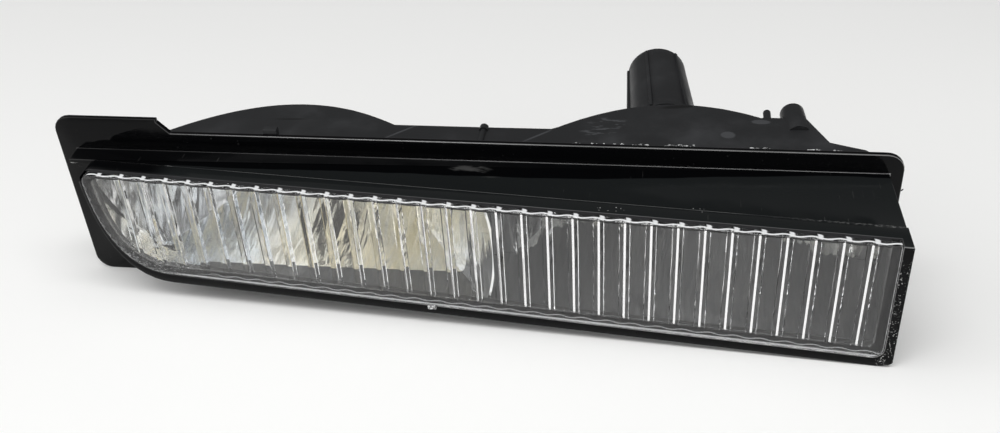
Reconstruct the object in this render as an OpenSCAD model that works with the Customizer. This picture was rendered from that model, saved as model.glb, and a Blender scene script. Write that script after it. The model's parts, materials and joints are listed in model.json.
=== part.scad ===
/* [Flange] */
// Length of the flange from end to end
flange_w = 350; // [335:1:370]
// Height of the flange beside its raised end
flange_h = 74.4; // [72:0.2:82]
// Thickness of the flange
flange_t = 2.2; // [1.8:0.1:3]
// Corner radius of the flange
flange_r = 7; // [4:0.5:10]
// Length of the raised left end
tab_w = 46.5; // [40:0.5:60]
// Height of the raised end above the rest of the flange
tab_rise = 6.8; // [4:0.2:10]
// Run of the slope that ends the raised end
tab_run = 5; // [2:0.5:10]

/* [Front box] */
// Drop from the top edge of the flange to the top of the box
box_drop = 8.3; // [6:0.1:10]
// Width of the flange that shows to the right of the box
box_margin = 5.3; // [4:0.1:8]
// Flare of the right end wall towards the lens, in degrees
box_flare = 3; // [0:0.5:4]
// Wall thickness of the box
box_wall = 2.4; // [2:0.1:3]
// Height of the black rim under the lens
rim_under = 4.4; // [3.6:0.1:6]
// Width of the black rim left of the lens
rim_left = 1; // [0.8:0.1:2]
// Length of the thicker collar behind the lens
collar_len = 12; // [8:0.5:14]
// Height of the step behind the collar
collar_step = 0.4; // [0.2:0.1:0.8]
// Length of the ledge left of the box
ledge_w = 9.5; // [6:0.5:12]
// Depth of the ledge ahead of the flange
ledge_depth = 8.5; // [6:0.5:10]
// Thickness of the ledge
ledge_t = 2; // [1.5:0.1:3]

/* [Lens] */
// Yaw of the lens face against the flange, in degrees
lens_angle = 4.6; // [3:0.1:6]
// Distance of the lens face ahead of the flange at mid length
lens_depth = 33.4; // [30:0.2:38]
// Height of the lens at mid length
lens_h = 51.2; // [49:0.1:53]
// Slope of the bottom edge of the lens, in degrees
lens_taper = 0.95; // [0:0.05:1.2]
// Flange left of the lens
lens_left_margin = 18; // [16:0.5:24]
// Flange right of the lens
lens_right_margin = 6.6; // [6:0.1:9]
// Thickness of the lens plate
lens_t = 2.8; // [2.2:0.1:3.5]
// Radius of the lower right corner of the lens
lens_r = 4.5; // [3:0.5:7]
// Distance between two flutes
flute_pitch = 10; // [9:0.5:14]
// Width of a flute at its foot on the inner face
flute_w = 4.4; // [3.6:0.1:6]
// Height of the steep foot of a flute
foot_h = 0.3; // [0.2:0.05:0.4]
// Height of the shoulder that slopes up to the crest of a flute
shoulder_h = 0.32; // [0.2:0.02:0.4]
// Width of the crest, a right-angled roof
crest_w = 0.9; // [0.6:0.1:1.4]
// Plain strip between the lower flute ends and the edge
flute_end = 1.6; // [1:0.1:3]
// Width of the lens border that is glued down
border_w = 3.4; // [3:0.1:4]
// Height of that border behind the plate
border_h = 1.4; // [1:0.1:1.6]
// Depth of the sealant bed behind the plate
bed_h = 2; // [1.8:0.1:2.6]
// Clearance round the lens in its recess
lens_gap = 0.25; // [0.15:0.05:0.5]

/* [Rear housing] */
// Rise of the housing above the top of the box
housing_rise = 2; // [1:0.1:3]
// Height of the housing over its bowls
housing_h = 56; // [54:0.5:60]
// Wall thickness of the housing
housing_wall = 2.2; // [1.8:0.1:2.8]
// Four times the focal length of the outer bowl surface
bowl_4f = 124; // [115:1:130]
// Centre of the fog lamp bowl, left of the flange middle
fog_x = 75.4; // [73:0.2:78]
// Depth of the fog lamp bowl behind the flange face
fog_depth = 43.4; // [38:0.2:48]
// Centre of the turn lamp bowl, right of the flange middle
turn_x = 88.2; // [86:0.2:90]
// Depth of the turn lamp bowl behind the flange face
turn_depth = 50.8; // [46:0.2:52]
// Depth of the straight bridge between the bowls
bridge_depth = 22; // [18:0.5:26]
// Thickness of the joint lip of the housing
lip_t = 3.4; // [3:0.1:4]
// Width of the lip past the bowls
lip_w = 4; // [3:0.5:5]
// Centre of the broken clip on the lip, left of the flange middle
clip_x = 80.5; // [60:0.5:100]
// Width of the clip
clip_w = 5.8; // [4:0.2:8]
// Height of its stub above the top of the flange
clip_rise = 1.8; // [0.6:0.1:3]

/* [Reflectors] */
// Wall thickness of a reflector
reflector_wall = 1.4; // [1:0.1:2]
// Clearance between a reflector and the housing
reflector_gap = 0.6; // [0.4:0.1:1]
// Thickness of the reflector rims
reflector_rim = 1.5; // [1.2:0.1:2]
// Seat of the reflector rims on the front end of the housing wall
rim_seat = 1.3; // [0.8:0.1:1.6]
// Border of the flange that stands inside the joint opening
window_lap = 0.4; // [0.2:0.1:1]

/* [Turn lamp holder] */
// Centre of the front ring of the holder, left of the bowl centre
holder_off = 6.4; // [4:0.2:8]
// Distance of that ring behind the flange face
holder_y = 65; // [63:0.5:70]
// Lean of the holder, in degrees
holder_lean = 5.2; // [3:0.2:7]
// Length of the holder behind its ring
holder_len = 56; // [50:0.5:62]
// Radius of the front ring of the holder
holder_r1 = 16.2; // [15.5:0.1:18]
// Radius of the holder body at its mouth
holder_r2 = 13.9; // [13:0.1:15]
// Wall thickness of the holder
holder_wall = 2; // [1.6:0.1:2.4]
// Depth of the plug socket in the holder
plug_depth = 24; // [18:1:30]
// Radius of the spigot that enters the neck
spigot_r = 10.6; // [10.2:0.1:11.2]
// Radial room for the seal ring round a spigot
seal_room = 1.6; // [1.4:0.1:2]
// Thickness of the seal ring of the holder
turn_seal_h = 3; // [2.4:0.1:3.4]
// Distance of that ring ahead of the front ring of the holder
turn_seal_at = 2; // [1.6:0.1:3]
// Radius of the turn bulb cap
cap_r = 7.4; // [7:0.1:7.6]
// Length of the turn bulb cap
cap_len = 16; // [15:0.5:16]
// Radius of the round end of the turn bulb
bell_r = 9.5; // [8:0.1:9.8]
// Length of the turn bulb glass
bell_len = 34; // [32:0.5:36]
// Distance between two contact blades
blade_pitch = 5; // [4:0.2:6]
// Width of a contact blade
blade_w = 2.8; // [2.2:0.1:3]
// Thickness of a contact blade
blade_t = 0.8; // [0.6:0.1:1]
// Distance of the blade ends inside the mouth of the holder
blade_back = 8; // [4:0.5:12]

/* [Fog lamp bulb] */
// Radius of the fog bulb spigot
fog_spigot_r = 9.5; // [9:0.1:10.5]
// Radius of the fog bulb collar
fog_collar_r = 13; // [12.5:0.1:15]
// Length of the fog lamp neck behind the bowl
fog_neck = 3; // [2.5:0.1:5]
// Drop of the plug shroud below the bulb axis
shroud_drop = 24; // [20:1:28]
// Thickness of the seal ring of the fog bulb
fog_seal_h = 2.6; // [2:0.1:2.8]
// Radius of the fog bulb capsule
capsule_r = 5; // [4.5:0.1:6]
// Length of the fog bulb capsule
capsule_len = 23; // [22:0.5:26]
// Wall thickness of both bulb glasses
glass_t = 0.8; // [0.6:0.05:0.8]

/* [Fixing] */
// Radius of the fixing tube behind the right end
tube_r = 5.1; // [4.5:0.1:6]
// Distance of the tube from the right end of the flange
tube_inset = 39.8; // [38:0.2:42]
// Distance of the tube mouth behind the flange face
tube_y = 44.5; // [42:0.5:50]
// Length of the tube
tube_len = 18; // [17:0.5:22]
// Drop of the tube axis from the top of the housing
tube_drop = 3; // [2:0.2:5]
// Reach of the web past the tube at its shoulder
shoulder_run = 13.2; // [12:0.2:15]
// Distance of that shoulder behind the flange face
shoulder_y = 17.4; // [15:0.2:19]
// Reach of the web past the tube at its outer end
web_run = 26.6; // [22:0.2:28]
// Distance of that end behind the flange face
web_y = 13; // [10:0.2:14]
// Radius of the nub beside the tube
nub_r = 1.6; // [1.2:0.1:2]
// Length of the nub
nub_len = 8; // [6:0.5:9]
// Distance of the nub from the tube, towards the bowl
nub_off = 10.6; // [9:0.2:12]
// Radius of the screw holes in both fixing points
screw_r = 2.1; // [1.6:0.1:2.5]
// Depth of the screw holes
screw_depth = 16; // [10:1:20]
// Distance of the left boss from the left end of the flange
boss_inset = 11.5; // [10:0.5:13]
// Height of the left boss behind the flange
boss_h = 18; // [16:0.5:24]
// Radius of the left boss
boss_r = 5; // [4:0.1:6]

/* [Hidden] */

$fn = 48;
big = 400;
z_top = flange_h / 2;
box_top = z_top - box_drop;
lens_x0 = -flange_w / 2 + lens_left_margin;
lens_x1 = flange_w / 2 - lens_right_margin;
box_x1 = flange_w / 2 - box_margin;
seat = lens_t + bed_h;
seat_t = 2;
ledge_x0 = lens_x0 - rim_left - ledge_w;

housing_z1 = box_top + housing_rise;
housing_z0 = housing_z1 - housing_h;
axis_z = (housing_z0 + housing_z1) / 2;
lip_y = flange_t + lip_t;
fog_r = sqrt((fog_depth - flange_t) * bowl_4f);
turn_r = sqrt((turn_depth - flange_t) * bowl_4f);
lip_x0 = -fog_x - fog_r - lip_w;
lip_x1 = min(turn_x + turn_r + lip_w, flange_w / 2 - 1);
cavity_x0 = -fog_x - fog_r + 3;
cavity_x1 = turn_x + turn_r - 3;
cavity_z0 = housing_z0 + housing_wall;
cavity_z1 = housing_z1 - housing_wall;
rim_gap = 0.3;
capsule_z = -13;
seat_z = -11;
socket_y = 8;
lead_x = 2.2;
lead_r = 0.35;
spigot_len = 14;
cap_cup = 8;
stem_base = cap_cup - cap_len - 1;
neck_root = 9;
front_z0 = housing_z0 + housing_wall + reflector_gap;
front_z1 = box_top - box_wall - collar_step - reflector_gap;
split_x = (-fog_x + fog_r + turn_x - turn_r) / 2;

holder_x = turn_x - holder_off;
tube_x = flange_w / 2 - tube_inset;
tube_z = housing_z1 - tube_drop;

// Point at share u of a cubic curve
function bezier(a, b, c, d, u) =
    a * pow(1 - u, 3) + b * 3 * u * pow(1 - u, 2) + c * 3 * u * u * (1 - u) + d * pow(u, 3);
// Bottom edge of the lens at x
function lens_bottom(x) = box_top - lens_h - x * tan(lens_taper);
// Points on a circle
function arc(cx, cz, r, a0, a1, n) =
    [for (i = [0:n]) [cx + r * cos(a0 + (a1 - a0) * i / n), cz + r * sin(a0 + (a1 - a0) * i / n)]];
// Outline of the lens face grown on each side by its own amount
function face(left, under, right, over) =
    let (x0 = lens_x0 - left, x1 = lens_x1 + right, z1 = box_top + over,
         foot_x = lens_x0 + 30, foot_z = lens_bottom(foot_x) - under,
         r = lens_r + right / 2, corner_z = lens_bottom(x1 - r) - under + r)
    concat(
        [[x1, z1]],
        over > 0 ? [[x0, z1]] : [[x0 + 3.2, z1], [x0 + 1, z1 - 1]],
        [for (i = [0:14]) bezier([x0, min(z1, box_top) - 3.4], [x0 + 0.8, box_top - 0.55 * lens_h],
                                 [x0 + 8.5, foot_z], [foot_x, foot_z], i / 14)],
        arc(x1 - r, corner_z, r, -90, 0, 6));

// Plate parallel to the flange between two depths
module plate(y0, y1) {
    translate([0, y1, 0]) rotate([90, 0, 0]) linear_extrude(height = y1 - y0) children();
}
// Turns an upright solid so that its top points backwards
module backwards(x, y, z, lean = 0) {
    translate([x, y, z]) rotate([0, 0, lean]) rotate([-90, 0, 0]) children();
}
// Slab between two distances behind the lens face
module slab(d0, d1) {
    translate([0, -lens_depth, -big / 2]) rotate([0, 0, -lens_angle])
        translate([-big / 2, d0, 0]) cube([big, d1 - d0, big]);
}
// Prism of a grown lens outline, far ahead of the lens up to the flange
module prism(left, under, right, over) {
    plate(-lens_depth - 40, flange_t) polygon(face(left, under, right, over));
}
// Wedge that keeps what is left of the flared end wall
module end_cut(inset) {
    run = lens_depth + 40;
    translate([0, 0, -big / 2]) linear_extrude(height = big)
        polygon([[-big, flange_t], [-big, -run], [box_x1 - inset + run * tan(box_flare), -run],
                 [box_x1 - inset, 0], [box_x1 - inset, flange_t]]);
}

module flange_outline() {
    x0 = -flange_w / 2;
    x1 = flange_w / 2;
    r = flange_r;
    top = z_top + tab_rise;
    polygon(concat(
        arc(x1 - r, z_top - r, r, 0, 90, 6),
        [[x0 + tab_w + tab_run, z_top], [x0 + tab_w, top - 1.4], [x0 + tab_w, top]],
        arc(x0 + r, top - r, r, 90, 180, 6),
        arc(x0 + r, -z_top + r, r, 180, 270, 6),
        arc(x1 - r, -z_top + r, r, 270, 360, 6)));
}
module window_outline() {
    cavity_outline(-window_lap);
}
module front_bezel() {
    grow_l = rim_left - box_wall;
    grow_b = rim_under - box_wall;
    color([0.03, 0.03, 0.035]) difference() {
        union() {
            plate(0, flange_t) flange_outline();
            intersection() {
                prism(rim_left, rim_under, 6, -collar_step);
                slab(0, big / 2);
                end_cut(0);
            }
            intersection() {
                prism(rim_left + collar_step, rim_under + collar_step, 6, 0);
                slab(0, collar_len);
                end_cut(-collar_step);
            }
            translate([ledge_x0, -ledge_depth, box_top - collar_step - ledge_t])
                cube([ledge_w + 4, ledge_depth + 0.1, ledge_t]);
            backwards(-flange_w / 2 + boss_inset, flange_t - 0.1, axis_z)
                cylinder(r = boss_r, h = boss_h + 0.1);
            backwards(-flange_w / 2 + boss_inset, flange_t - 0.1, axis_z) boss_webs();
        }
        intersection() {
            prism(lens_gap, lens_gap, lens_gap, 6);
            slab(-40, seat);
        }
        intersection() {
            prism(-border_w, -border_w, -border_w, -box_wall);
            slab(0, seat + seat_t + 0.1);
        }
        intersection() {
            prism(grow_l, grow_b, 5, -box_wall - collar_step);
            slab(seat + seat_t, big / 2);
            end_cut(box_wall);
            translate([-big / 2, -big, -big / 2]) cube([big, big, big]);
        }
        plate(-1, flange_t + 1) window_outline();
        backwards(-flange_w / 2 + boss_inset, flange_t + boss_h - screw_depth, axis_z)
            cylinder(r = screw_r, h = screw_depth + 1);
    }
}
// Four webs that brace the left boss
module boss_webs() {
    for (a = [0:90:270]) rotate([90, 0, a])
        translate([0, 0, -0.9]) linear_extrude(height = 1.8)
            polygon([[boss_r - 0.6, 0], [boss_r + 3.4, 0], [boss_r - 0.6, boss_h * 0.6]]);
}

// Plan of the flutes on the back of the lens plate
module flute_plan() {
    s1 = lens_x1 / cos(lens_angle);
    s0 = (lens_x0 + 12) / cos(lens_angle);
    count = floor((s1 - s0) / flute_pitch);
    translate([0, -lens_depth]) rotate(-lens_angle)
        for (k = [1:count]) translate([s1 - k * flute_pitch, lens_t]) flute_section();
}
// Section of a flute: steep foot, shoulder and sharp crest
module flute_section() {
    foot = flute_w / 2;
    crest = crest_w / 2;
    flank = [[foot, 0], [foot - 1.15 * foot_h, foot_h], [crest, foot_h + shoulder_h]];
    polygon(concat([[foot, -0.2]], flank, [[0, foot_h + shoulder_h + crest]],
        [for (i = [2:-1:0]) [-flank[i][0], flank[i][1]]], [[-foot, -0.2]]));
}
module lens_body() {
    intersection() {
        prism(0, 0, 0, 0);
        slab(0, lens_t);
    }
    intersection() {
        prism(0, -flute_end, 0, 0);
        translate([0, 0, -big / 2]) linear_extrude(height = big) flute_plan();
    }
    difference() {
        intersection() {
            prism(0, 0, 0, 0);
            slab(lens_t - 0.2, lens_t + border_h);
        }
        prism(-border_w, -border_w, -border_w, 5);
    }
}
module lens() {
    color([0.85, 0.88, 0.9, 0.4]) lens_body();
}
module lens_sealant() {
    color([0.12, 0.12, 0.13]) difference() {
        intersection() {
            prism(0, 0, 0, 0);
            slab(lens_t, seat);
        }
        prism(-border_w + 0.4, -border_w + 0.4, -border_w + 0.4, -box_wall);
        lens_body();
    }
}

// Solid under a bowl surface whose vertex lies at depth
module bowl_body(x, depth, r) {
    steps = 14;
    backwards(x, 0, axis_z) rotate_extrude($fn = 96)
        polygon(concat([[0, flange_t]],
            [for (i = [0:steps]) let (q = r * (steps - i) / steps) [q, depth - q * q / bowl_4f]]));
}
module bowl(x, depth, shift) {
    d = depth - shift;
    bowl_body(x, d, sqrt((d - flange_t) * bowl_4f));
}
// Level slice of the housing, thinned by inset above and below
module level(inset) {
    translate([-big / 2, -1, housing_z0 + inset]) cube([big, big, housing_h - 2 * inset]);
}
module housing_outer() {
    intersection() {
        level(0);
        union() {
            bowl(-fog_x, fog_depth, 0);
            bowl(turn_x, turn_depth, 0);
            translate([-fog_x, flange_t, housing_z0])
                cube([fog_x + turn_x, bridge_depth - flange_t, housing_h]);
        }
    }
}
module housing_inner() {
    intersection() {
        level(housing_wall);
        union() {
            bowl(-fog_x, fog_depth, housing_wall);
            bowl(turn_x, turn_depth, housing_wall);
            translate([-fog_x, flange_t, housing_z0])
                cube([fog_x + turn_x, bridge_depth - flange_t - housing_wall, housing_h]);
        }
    }
}
// Joint lip behind the flange, grown by an amount
module lip_outline(grow) {
    translate([lip_x0 - grow, housing_z0 - 2 - grow])
        square([lip_x1 - lip_x0 + 2 * grow, housing_h + 4.5 + 2 * grow]);
}
// Lip with the clip that stands up behind the flange
module joined_outline() {
    lip_outline(0);
    translate([-clip_x - clip_w / 2, housing_z1]) square([clip_w, z_top + clip_rise - housing_z1]);
}
// Level web that ties the fixing tube to the bowl and the lip
module tube_web() {
    x = tube_x;
    back = tube_y - tube_len / 2;
    translate([0, 0, housing_z1 - housing_wall]) linear_extrude(height = housing_wall)
        polygon([[turn_x + turn_r / 4, lip_y - 1], [turn_x + turn_r / 2.6, back], [x, back],
                 [x + tube_r, back], [x + shoulder_run, shoulder_y], [x + web_run, web_y],
                 [lip_x1, lip_y - 1]]);
    translate([x - 1, lip_y - 1, axis_z]) cube([2, back - lip_y - 2, tube_z - axis_z]);
}
module fixing_tube() {
    backwards(tube_x, tube_y, tube_z, holder_lean) translate([0, 0, -tube_len])
        cylinder(r = tube_r, h = tube_len);
}
module turn_neck(r, front, back) {
    backwards(holder_x, holder_y, axis_z, holder_lean)
        translate([0, 0, -front]) cylinder(r = r, h = front - back);
}
module rear_housing() {
    neck_in = spigot_r + seal_room;
    color([0.07, 0.07, 0.075]) difference() {
        union() {
            plate(flange_t, lip_y) joined_outline();
            housing_outer();
            tube_web();
            fixing_tube();
            turn_neck(neck_in + housing_wall, holder_y - turn_depth + neck_root, 0);
            backwards(-fog_x, fog_depth - neck_root, axis_z)
                cylinder(r = fog_spigot_r + seal_room + housing_wall, h = neck_root + fog_neck);
            bridge_rib();
            backwards(tube_x - nub_off, tube_y - nub_len - 2.5, housing_z1 - nub_r)
                cylinder(r = nub_r, h = nub_len);
        }
        housing_inner();
        plate(flange_t - 1, flange_t + reflector_rim) cavity_outline(rim_seat + rim_gap);
        plate(flange_t, lip_y + 0.1) cavity_outline(0);
        turn_neck(neck_in, 60, -1);
        backwards(-fog_x, flange_t, axis_z) cylinder(r = fog_spigot_r + seal_room, h = 80);
        backwards(tube_x, tube_y, tube_z, holder_lean) translate([0, 0, -screw_depth])
            cylinder(r = screw_r, h = screw_depth + 1);
    }
}
// Rounded rib across the top of the bridge, with its raised rear end
module bridge_rib() {
    backwards(6.8, lip_y - 1, housing_z1) cylinder(r = 1.2, h = bridge_depth - lip_y + 1);
    backwards(6.8, bridge_depth - 3, housing_z1) cylinder(r = 1.9, h = 3);
}
// Opening through the lip, grown by an amount
module cavity_outline(grow) {
    translate([cavity_x0 - grow, cavity_z0 - grow])
        square([cavity_x1 - cavity_x0 + 2 * grow, cavity_z1 - cavity_z0 + 2 * grow]);
}
module joint_sealant() {
    color([0.1, 0.1, 0.1]) difference() {
        plate(flange_t, flange_t + 1.2) lip_outline(1.1);
        plate(flange_t - 1, flange_t + 3) joined_outline();
    }
}

// Outline of a reflector rim on one side of the split between the two
module rim_outline(right) {
    intersection() {
        cavity_outline(rim_seat);
        translate([split_x + (right ? rim_gap / 2 : -rim_gap / 2 - big), -big / 2]) square(big);
    }
}
module reflector(x, depth, right) {
    outer = housing_wall + reflector_gap;
    inner = outer + reflector_wall;
    color([0.8, 0.8, 0.78]) difference() {
        union() {
            plate(flange_t, flange_t + reflector_rim) rim_outline(right);
            intersection() {
                level(outer);
                bowl(x, depth, outer);
            }
        }
        intersection() {
            level(inner);
            bowl(x, depth, inner);
        }
        intersection() {
            level(inner);
            plate(flange_t - 1, flange_t + 1) translate([x, axis_z])
                circle(r = sqrt((depth - inner - flange_t) * bowl_4f));
        }
        children();
    }
}
// Bowl surface carried on ahead of the flange, as a solid
module long_bowl(x, d) {
    reach = lens_depth + 10;
    y1 = flange_t + rim_gap;
    steps = 12;
    backwards(x, 0, axis_z) rotate_extrude($fn = 96)
        polygon(concat([[0, -reach], [0, y1]], [for (i = [0:steps])
            let (y = y1 - (y1 + reach) * i / steps) [sqrt((d - y) * bowl_4f), y]]));
}
// Space inside the front box for what the reflectors carry forward
module front_room() {
    intersection() {
        translate([-big / 2, -big / 2, front_z0]) cube([big, big, front_z1 - front_z0]);
        prism(rim_left - box_wall - 3 * rim_gap, rim_under - box_wall - 3 * rim_gap, 5,
              -box_wall - collar_step - 2 * rim_gap);
        slab(seat + seat_t + rim_gap, big / 2);
        end_cut(box_wall + 2 * rim_gap);
        union() {
            translate([-big / 2, -big - rim_gap, -big / 2]) cube(big);
            plate(-2 * rim_gap, flange_t + rim_gap) cavity_outline(-window_lap - rim_gap);
        }
    }
}
// Front of the fog reflector: bowl, floor and roof run on to the lens
module fog_front() {
    outer = fog_depth - housing_wall - reflector_gap;
    difference() {
        intersection() {
            long_bowl(-fog_x, outer);
            front_room();
        }
        intersection() {
            long_bowl(-fog_x, outer - reflector_wall);
            translate([-big / 2, -big / 2, front_z0 + reflector_wall])
                cube([big, big, front_z1 - front_z0 - 2 * reflector_wall]);
        }
    }
}
// Front of the turn reflector: its floor runs on to the lens beside the fog reflector
module turn_front() {
    difference() {
        intersection() {
            translate([-fog_x / 2, -big / 2, front_z0]) cube([big, big, reflector_wall]);
            front_room();
            union() {
                translate([split_x + rim_gap / 2, -big / 2, -big / 2]) cube(big);
                translate([-big / 2, -big - 2 * rim_gap, -big / 2]) cube(big);
            }
        }
        long_bowl(-fog_x, fog_depth - housing_wall);
    }
}
module fog_reflector() {
    reflector(-fog_x, fog_depth, false)
        backwards(-fog_x, flange_t, axis_z) cylinder(r = fog_spigot_r - 0.5, h = 80);
    color([0.8, 0.8, 0.78]) fog_front();
}
module turn_reflector() {
    reflector(turn_x, turn_depth, true) turn_neck(spigot_r + 0.6, 60, 0);
    color([0.8, 0.8, 0.78]) turn_front();
}

// Frame of the fog bulb, at the mouth of its neck
module fog_frame() {
    backwards(-fog_x, fog_depth + fog_neck, axis_z) children();
}
// Ring groove or seal at height z of a spigot
module ring(r_out, r_in, z, h) {
    translate([0, 0, z]) difference() {
        cylinder(r = r_out, h = h);
        translate([0, 0, -1]) cylinder(r = r_in, h = h + 2);
    }
}
module fog_bulb_base() {
    body_w = 18;
    socket_w = body_w - 3.6;
    ear_t = 2.4;
    color([0.16, 0.16, 0.17]) fog_frame() difference() {
        union() {
            cylinder(r = fog_collar_r, h = ear_t);
            translate([0, 0, seat_z]) cylinder(r = fog_spigot_r - 1, h = 0.1 - seat_z);
            translate([0, 0, capsule_z]) cylinder(r = capsule_r + 1.5, h = 3);
            translate([-body_w / 2, -body_w / 2, ear_t - 0.1])
                cube([body_w, shroud_drop + body_w / 2, 8.5]);
            for (a = [0:120:240]) rotate(a) translate([fog_collar_r - 3, -1.8, 0])
                cube([4.6, 3.6, ear_t]);
        }
        translate([-socket_w / 2, socket_y, 4]) cube([socket_w, shroud_drop, 5]);
        ring(fog_spigot_r + 1, fog_spigot_r - 1.8, -2 * fog_seal_h, fog_seal_h);
    }
}
module fog_bulb_seal() {
    color([0.5, 0.2, 0.12]) fog_frame()
        ring(fog_spigot_r + seal_room, fog_spigot_r - 1.8, -2 * fog_seal_h, fog_seal_h);
}
// Closed profile of a glass capsule with a wall
module capsule(r, len, wall) {
    rotate_extrude() difference() {
        union() {
            square([r, len - r]);
            translate([0, len - r]) intersection() { circle(r = r); square(r); }
        }
        translate([0, 3]) square([r - wall, len - r - 3]);
        translate([0, len - r]) intersection() { circle(r = r - wall); square(r); }
    }
}
module fog_bulb_glass() {
    color([0.9, 0.93, 0.95, 0.4]) fog_frame() translate([0, 0, capsule_z]) mirror([0, 0, 1])
        capsule(capsule_r, capsule_len, glass_t);
}
module fog_bulb_leads() {
    color([0.7, 0.7, 0.7]) fog_frame() for (x = [-lead_x, lead_x])
        translate([x, 0, capsule_z - 14]) cylinder(r = lead_r, h = 11);
}
// Coil as one rod between the two leads
module fog_bulb_filament() {
    half = lead_x - lead_r - 0.05;
    color([0.35, 0.35, 0.36]) fog_frame() translate([-half, 0, capsule_z - 13.4])
        rotate([0, 90, 0]) cylinder(r = 0.6, h = 2 * half);
}
module fog_bulb_pins() {
    color([0.85, 0.75, 0.5]) fog_frame() for (x = [-4, 4])
        translate([x - blade_w / 2, socket_y, 6.5 - blade_t / 2])
            cube([blade_w, shroud_drop - socket_y - 5, blade_t]);
}

module holder_frame() {
    backwards(holder_x, holder_y, axis_z, holder_lean) children();
}
module turn_bulb_holder() {
    body_r1 = holder_r1 - 0.6;
    color([0.09, 0.09, 0.09]) holder_frame() difference() {
        union() {
            cylinder(r = holder_r1, h = 3);
            translate([0, 0, 2.9]) cylinder(r1 = body_r1, r2 = holder_r2, h = holder_len - 2.9);
            translate([0, 0, -spigot_len]) cylinder(r = spigot_r, h = spigot_len + 0.1);
            for (k = [0:5]) rotate(8 + 60 * k) grip_rib();
        }
        ring(spigot_r + 1, spigot_r - 1.4, -turn_seal_at - turn_seal_h, turn_seal_h);
        translate([0, 0, -spigot_len - 1]) cylinder(r = cap_r + 0.6, h = spigot_len);
        translate([0, 0, holder_len - plug_depth])
            cylinder(r = holder_r2 - holder_wall, h = plug_depth + 1);
    }
}
// Long grip rib that stands a little short of the mouth
module grip_rib() {
    rotate([90, 0, 0]) translate([0, 0, -0.7]) linear_extrude(height = 1.4)
        polygon([[holder_r1 - 3, 0], [holder_r1 + 1, 0], [holder_r2 + 0.9, holder_len - 1.5],
                 [holder_r2 - 1, holder_len - 1.5]]);
}
module turn_holder_seal() {
    color([0.08, 0.08, 0.08]) holder_frame()
        ring(spigot_r + seal_room, spigot_r - 1.4, -turn_seal_at - turn_seal_h, turn_seal_h);
}
// Thin metal cup with two bayonet pins
module turn_bulb_cap() {
    color([0.75, 0.65, 0.4]) holder_frame() translate([0, 0, -cap_len - 1]) difference() {
        union() {
            cylinder(r = cap_r, h = cap_len);
            for (a = [0, 180]) rotate(a) translate([cap_r - 1.4, -1, 9]) cube([1.8, 2, 2]);
        }
        translate([0, 0, -1]) cylinder(r = cap_r - 0.8, h = cap_cup + 1);
    }
}
// Pear-shaped glass bulb standing in its cap
module turn_bulb_glass() {
    color([0.9, 0.93, 0.95, 0.4]) holder_frame() translate([0, 0, stem_base]) mirror([0, 0, 1])
        rotate_extrude() difference() {
            bell_profile(0);
            bell_profile(glass_t);
        }
}
module bell_profile(inset) {
    stem_r = cap_r - 1.2 - inset;
    polygon(concat([[0, 2 * inset], [stem_r, 2 * inset], [stem_r, 8]],
        [for (i = [0:10]) let (a = -35 + 125 * i / 10)
            [(bell_r - inset) * cos(a), bell_len - bell_r + (bell_r - inset) * sin(a)]]));
}
module turn_bulb_leads() {
    color([0.7, 0.7, 0.7]) holder_frame() for (x = [-3, 3])
        translate([x, 0, stem_base - 21]) cylinder(r = lead_r, h = 19.4);
}
// Coil as one rod between the two leads
module turn_bulb_filament() {
    half = 3 - lead_r - 0.05;
    color([0.35, 0.35, 0.36]) holder_frame() translate([-half, 0, stem_base - 20.4])
        rotate([0, 90, 0]) cylinder(r = 0.5, h = 2 * half);
}
module turn_holder_blades() {
    color([0.85, 0.75, 0.5]) holder_frame() for (x = [-blade_pitch, 0, blade_pitch])
        translate([x - blade_w / 2, -blade_t / 2, holder_len - plug_depth])
            cube([blade_w, blade_t, plug_depth - blade_back]);
}

front_bezel();
lens();
lens_sealant();
rear_housing();
joint_sealant();
fog_reflector();
turn_reflector();
fog_bulb_base();
fog_bulb_seal();
fog_bulb_glass();
fog_bulb_leads();
fog_bulb_filament();
fog_bulb_pins();
turn_bulb_holder();
turn_holder_seal();
turn_bulb_cap();
turn_bulb_glass();
turn_bulb_leads();
turn_bulb_filament();
turn_holder_blades();
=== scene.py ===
"""Long front bumper lamp with a clear fluted lens, dressed on its CAD solids."""

import json
import math
import random

import bpy
from mathutils import Matrix, Vector

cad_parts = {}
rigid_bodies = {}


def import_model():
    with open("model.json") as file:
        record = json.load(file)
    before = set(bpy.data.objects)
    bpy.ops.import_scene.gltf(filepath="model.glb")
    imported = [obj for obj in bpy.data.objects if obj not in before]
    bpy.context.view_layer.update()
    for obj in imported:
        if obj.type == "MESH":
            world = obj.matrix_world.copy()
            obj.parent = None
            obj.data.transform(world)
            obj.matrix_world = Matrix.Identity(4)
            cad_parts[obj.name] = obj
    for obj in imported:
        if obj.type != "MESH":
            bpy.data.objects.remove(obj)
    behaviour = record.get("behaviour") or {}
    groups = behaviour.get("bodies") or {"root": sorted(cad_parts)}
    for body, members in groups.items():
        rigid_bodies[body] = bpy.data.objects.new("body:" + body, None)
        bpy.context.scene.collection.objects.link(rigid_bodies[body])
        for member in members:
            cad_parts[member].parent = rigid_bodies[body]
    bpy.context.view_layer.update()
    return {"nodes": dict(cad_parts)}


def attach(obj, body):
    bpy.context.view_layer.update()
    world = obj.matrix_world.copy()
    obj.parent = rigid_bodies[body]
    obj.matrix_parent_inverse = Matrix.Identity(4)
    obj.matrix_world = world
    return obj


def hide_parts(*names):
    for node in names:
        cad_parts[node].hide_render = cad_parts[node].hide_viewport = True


bl_info = {
    "name": "Bumper Lamp",
    "version": (1, 0, 0),
    "blender": (4, 5, 0),
    "location": "3D View > Sidebar > Bumper Lamp",
    "description": "Dresses a bumper lamp with a fluted lens and sets its studio",
    "category": "Object",
}

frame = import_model()
BODY = "root"

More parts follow.
